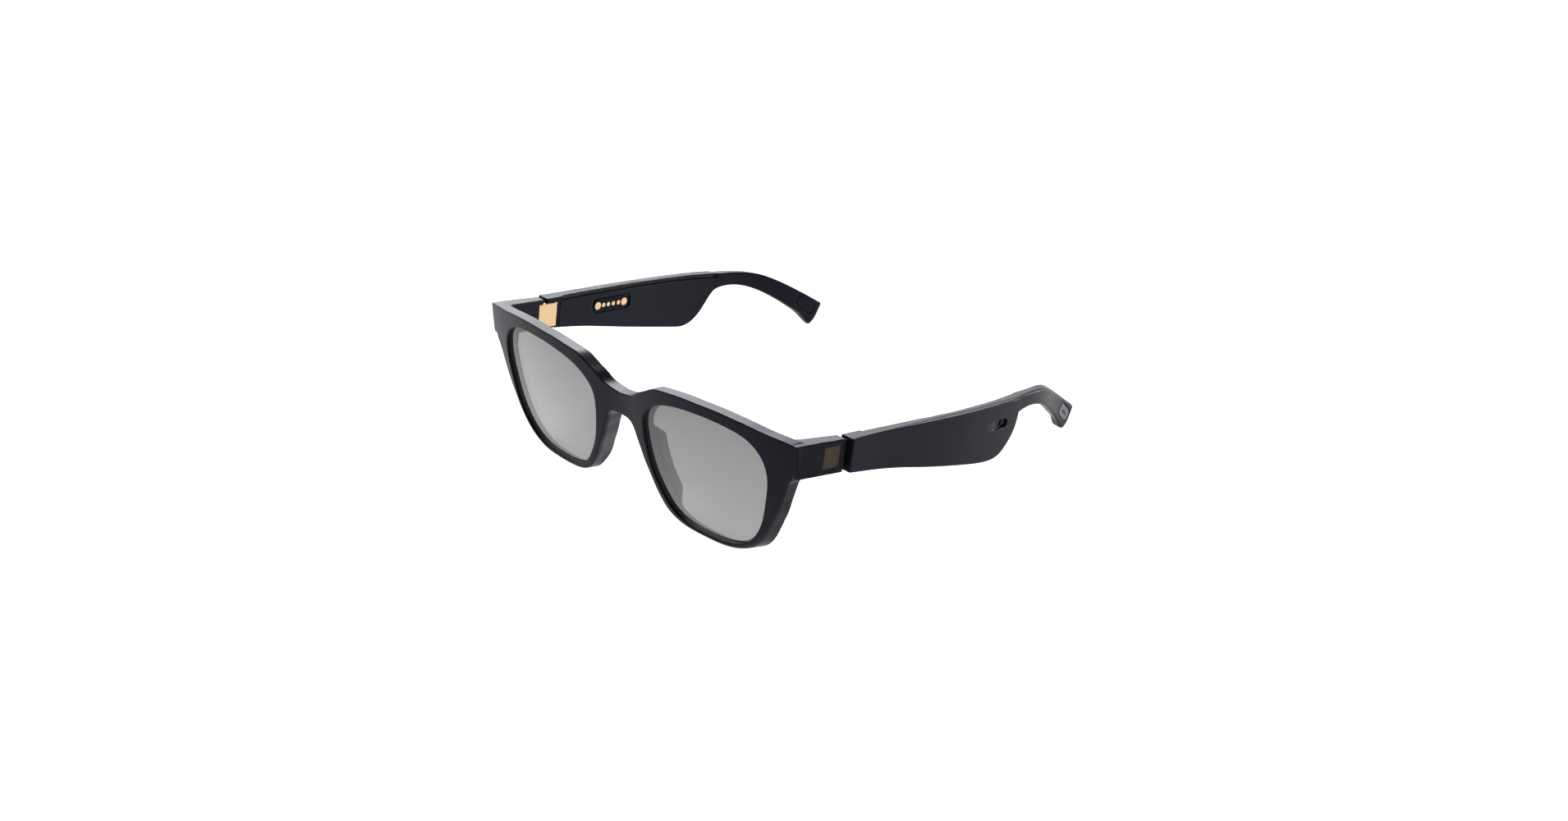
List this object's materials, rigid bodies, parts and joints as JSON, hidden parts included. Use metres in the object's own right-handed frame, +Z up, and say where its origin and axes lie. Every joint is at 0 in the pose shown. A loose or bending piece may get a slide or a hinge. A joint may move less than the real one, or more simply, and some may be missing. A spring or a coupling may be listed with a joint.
{
  "type": "smart glasses",
  "caption": "Open-ear audio glasses: moulded front with tinted lenses and nose pads, wide metal hinges, and thick folding temples with sound slots and a charging pad.",
  "frame": {"origin": "on the plane that the rims and the temple tips stand on, under the centre of the bounding box", "axes": "+Z up from the plane it stands on; -Y is the way the wearer looks; +X is the wearer's left"},
  "size_m": [0.1536, 0.1548, 0.0485],
  "materials": {
    "frame": "satin moulded nylon, blue-black",
    "lens": "smooth grey tint with a light mirror coating",
    "gold": "fine satin, pale gold plating",
    "steel": "ground",
    "temple": "satin moulded nylon, blue-black",
    "cover": "fine matte, blue-black",
    "mesh": "fine woven, black",
    "badge": "smooth grey",
    "plug": "satin, blue-black",
    "board": "solder mask",
    "foil": "foil",
    "speaker": "black",
    "gasket": "foam",
    "flex": "polyimide film",
    "carrier": "fine gloss, blue-black",
    "light": "milky light pipe"
  },
  "bodies": {
    "front": {"front_frame": "frame", "lens_left": "lens", "lens_right": "lens", "brow_flex_cable": "flex", "hinge_block_left": "gold", "hinge_pin_left": "steel", "hinge_block_right": "gold", "hinge_pin_right": "steel"},
    "temple_left": {"temple_shell_left": "temple", "inner_cover_left": "cover", "speaker_mesh_left": "mesh", "port_mesh_left": "mesh", "tip_badge_left": "badge", "tip_plug_left": "plug", "circuit_board_left": "board", "battery_left": "foil", "speaker_driver_left": "speaker", "speaker_gasket_left": "gasket"},
    "temple_right": {"temple_shell_right": "temple", "inner_cover_right": "cover", "speaker_mesh_right": "mesh", "port_mesh_right": "mesh", "tip_badge_right": "badge", "tip_plug_right": "plug", "circuit_board_right": "board", "battery_right": "foil", "speaker_driver_right": "speaker", "speaker_gasket_right": "gasket", "contact_carrier": "carrier", "charging_contacts": "gold", "status_light": "light", "microphone": "steel", "button_switch": "steel"},
    "control_button": {"control_button": "cover"}
  },
  "joints": [
    {"name": "fold_left", "type": "hinge", "parent": "front", "child": "temple_left", "pos_m": [0.0705, -0.0458, 0.03489], "axis": [0, 0.1415, 0.9899], "range_deg": [0, 90]},
    {"name": "fold_right", "type": "hinge", "parent": "front", "child": "temple_right", "pos_m": [-0.0705, -0.0458, 0.03489], "axis": [0, -0.1415, -0.9899], "range_deg": [0, 81]},
    {"name": "button_press", "type": "slide", "parent": "temple_right", "child": "control_button", "axis": [0, 0.2996, 0.9541], "range_m": [0, 0.00035], "stiffness_N_per_m": 2000, "springref_m": -0.0002}
  ]
}
